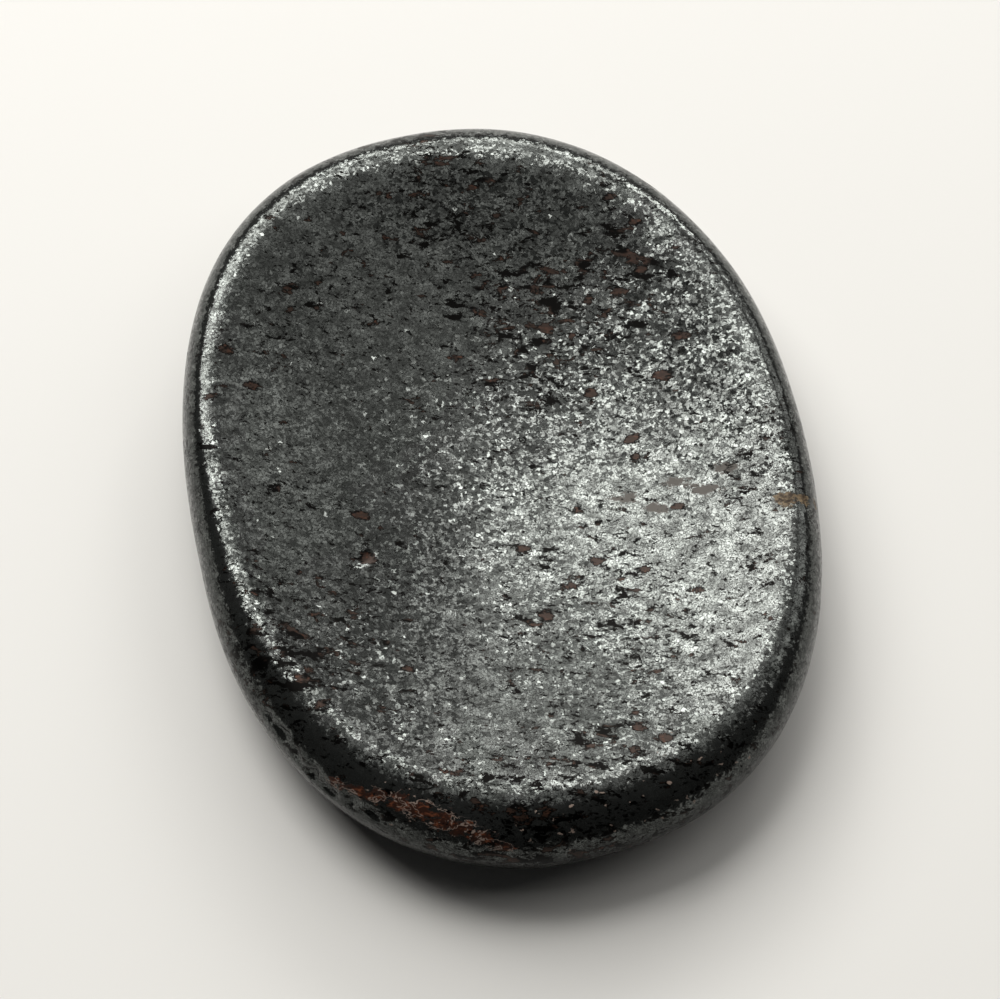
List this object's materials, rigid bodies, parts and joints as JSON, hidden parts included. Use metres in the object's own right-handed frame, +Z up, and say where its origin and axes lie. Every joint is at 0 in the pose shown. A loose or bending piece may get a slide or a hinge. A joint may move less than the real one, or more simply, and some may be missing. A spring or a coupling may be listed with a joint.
{
  "type": "massage stone",
  "caption": "Oval palm-sized massage stone with a full-round polished edge, a flat underside and a shallow hollow for the thumb on top.",
  "frame": {"origin": "centre of the outline, on the flat underside", "axes": "+Y along the length, +X across the width, +Z up out of the hollow"},
  "size_m": [0.0374, 0.0482, 0.007],
  "materials": {
    "stone": "polished dark grey rock with fine metallic grains"
  },
  "bodies": {
    "root": {"stone": "stone"}
  },
  "joints": []
}
